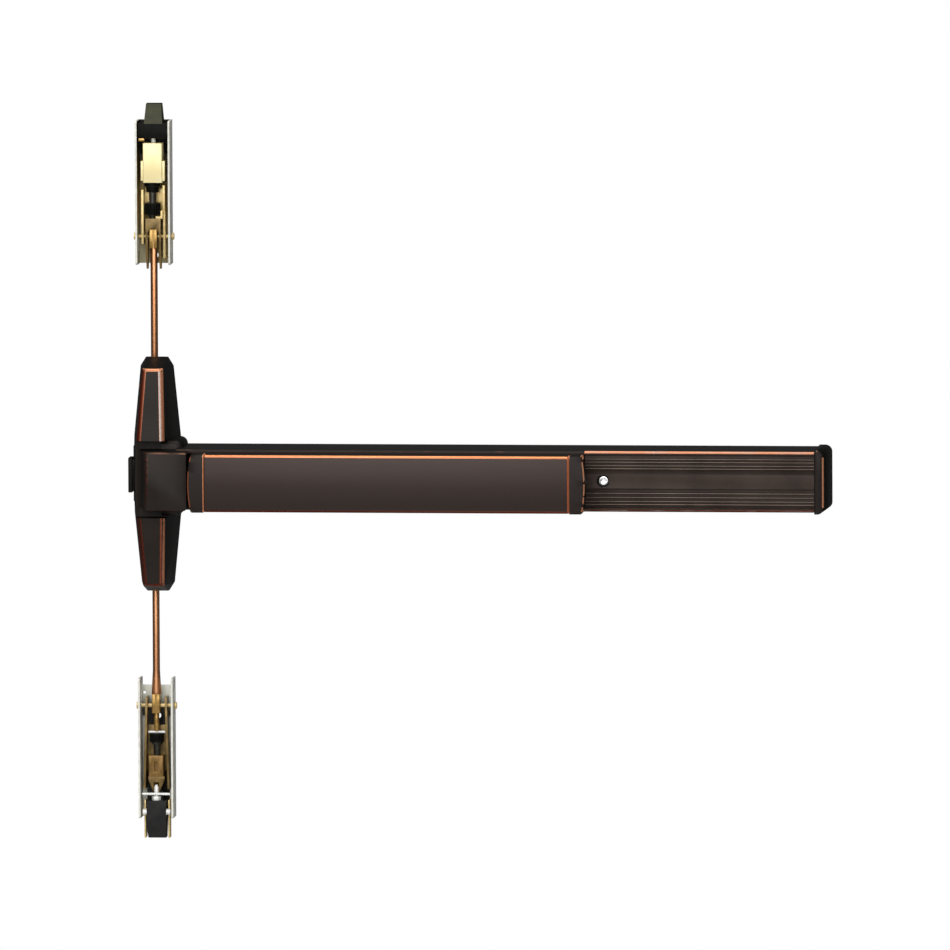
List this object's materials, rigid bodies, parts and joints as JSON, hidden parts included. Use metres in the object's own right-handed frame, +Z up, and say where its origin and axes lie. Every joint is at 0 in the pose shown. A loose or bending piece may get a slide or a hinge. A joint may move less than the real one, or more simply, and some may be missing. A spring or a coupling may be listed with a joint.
{
  "type": "vertical rod exit device",
  "caption": "Narrow stile exit device: push pad bar with grooved case, tall centre case, and two short rods ending in open latch cases.",
  "frame": {"origin": "on the door face, at the centre of the base plate's four mounting holes", "axes": "+X along the push pad, +Y into the door, +Z up along the rods"},
  "size_m": [0.6104, 0.1295, 0.639],
  "materials": {
    "dark_bronze": "satin, rubbed to copper on the edges",
    "bronze_screw": "satin",
    "black_plastic": "matte",
    "bronze_extrusion": "satin, dark bronze",
    "pad_carrier": "satin",
    "steel_plate": "zinc plated",
    "bright_steel": "polished",
    "spring_steel": "oiled",
    "rod_bronze": "semi-gloss copper brown",
    "zinc_plate": "zinc plated",
    "yellow_zinc": "yellow zinc plate",
    "brass": "turned",
    "black_steel": "black oxide"
  },
  "bodies": {
    "fixed": {"center_cover": "dark_bronze", "side_plug": "black_plastic", "cover_screws": "bronze_screw", "base_plate": "steel_plate", "rocker_pivot": "bright_steel", "mechanism_case": "bronze_extrusion", "crank_brackets": "steel_plate", "crank_pivots": "bright_steel", "filler": "bronze_extrusion", "dogging_plate": "steel_plate", "end_cap": "dark_bronze", "end_bracket": "steel_plate", "end_screw": "bronze_screw", "upper_spring": "spring_steel", "lower_spring": "spring_steel", "top_case": "zinc_plate", "bottom_case": "zinc_plate"},
    "pad": {"pad_plate": "bronze_extrusion", "pad_cap_left": "dark_bronze", "pad_cap_right": "dark_bronze", "pad_carrier": "pad_carrier"},
    "crank_a": {"crank_left": "steel_plate"},
    "crank_b": {"crank_right": "steel_plate"},
    "link": {"link_bar": "steel_plate"},
    "rocker": {"rocker": "steel_plate"},
    "upper_train": {"upper_slide": "steel_plate", "upper_rod_block": "steel_plate", "upper_rod": "rod_bronze", "upper_pin": "yellow_zinc", "upper_connector": "brass", "upper_clevis": "yellow_zinc", "upper_knob": "black_steel", "upper_stem": "zinc_plate", "upper_dome": "black_steel", "upper_carriage": "yellow_zinc", "upper_trip": "yellow_zinc", "upper_block": "yellow_zinc", "top_bolt_stem": "bright_steel", "top_bolt": "black_steel", "top_bolt_tab": "brass"},
    "lower_train": {"lower_slide": "steel_plate", "lower_rod_block": "steel_plate", "lower_rod": "rod_bronze", "lower_pin": "yellow_zinc", "lower_connector": "brass", "lower_carriage": "yellow_zinc", "lower_cross_pins": "bright_steel", "lower_barrel": "brass", "lower_knob": "black_steel", "lower_spool": "zinc_plate", "lower_block": "brass", "lower_wedge": "yellow_zinc", "lower_acorn": "bright_steel", "lower_nut": "brass", "lower_rollers": "bright_steel", "bottom_bolt": "black_steel", "bottom_cheeks": "yellow_zinc"},
    "dogging": {"dogging_screw": "bright_steel"}
  },
  "joints": [
    {"name": "pad_push", "type": "slide", "parent": "fixed", "child": "pad", "axis": [0, 1, 0], "range_m": [0, 0.019], "stiffness_N_per_m": 700, "springref_m": -0.02},
    {"name": "crank_a_turn", "type": "hinge", "parent": "fixed", "child": "crank_a", "pos_m": [0.1, -0.017, 0], "axis": [0, 0, 1], "range_deg": [0, 46.69]},
    {"name": "crank_b_turn", "type": "hinge", "parent": "fixed", "child": "crank_b", "pos_m": [0.3, -0.017, 0], "axis": [0, 0, 1], "range_deg": [0, 46.69]},
    {"name": "link_slide", "type": "slide", "parent": "fixed", "child": "link", "axis": [1, 0, 0], "range_m": [0, 0.012]},
    {"name": "rocker_turn", "type": "hinge", "parent": "fixed", "child": "rocker", "pos_m": [0, -0.01, 0], "axis": [0, -1, 0], "range_deg": [0, 60.05]},
    {"name": "upper_rod_slide", "type": "slide", "parent": "fixed", "child": "upper_train", "axis": [0, 0, 1], "range_m": [-0.012, 0], "deforming": ["upper_spring"]},
    {"name": "lower_rod_slide", "type": "slide", "parent": "fixed", "child": "lower_train", "axis": [0, 0, 1], "range_m": [0, 0.012], "deforming": ["lower_spring"]},
    {"name": "dogging_turn", "type": "hinge", "parent": "fixed", "child": "dogging", "pos_m": [0.3925, -0.04, 0.0002], "axis": [0, 1, 0], "range_deg": [0, 90]}
  ],
  "couplings": [
    {"joint": "crank_a_turn", "follows": "pad_push", "rad_per_m": 42.839},
    {"joint": "crank_b_turn", "follows": "pad_push", "rad_per_m": 42.839},
    {"joint": "link_slide", "follows": "pad_push", "ratio": 0.63158},
    {"joint": "rocker_turn", "follows": "pad_push", "rad_per_m": 55.116},
    {"joint": "upper_rod_slide", "follows": "pad_push", "ratio": -0.63158},
    {"joint": "lower_rod_slide", "follows": "pad_push", "ratio": 0.63158}
  ]
}
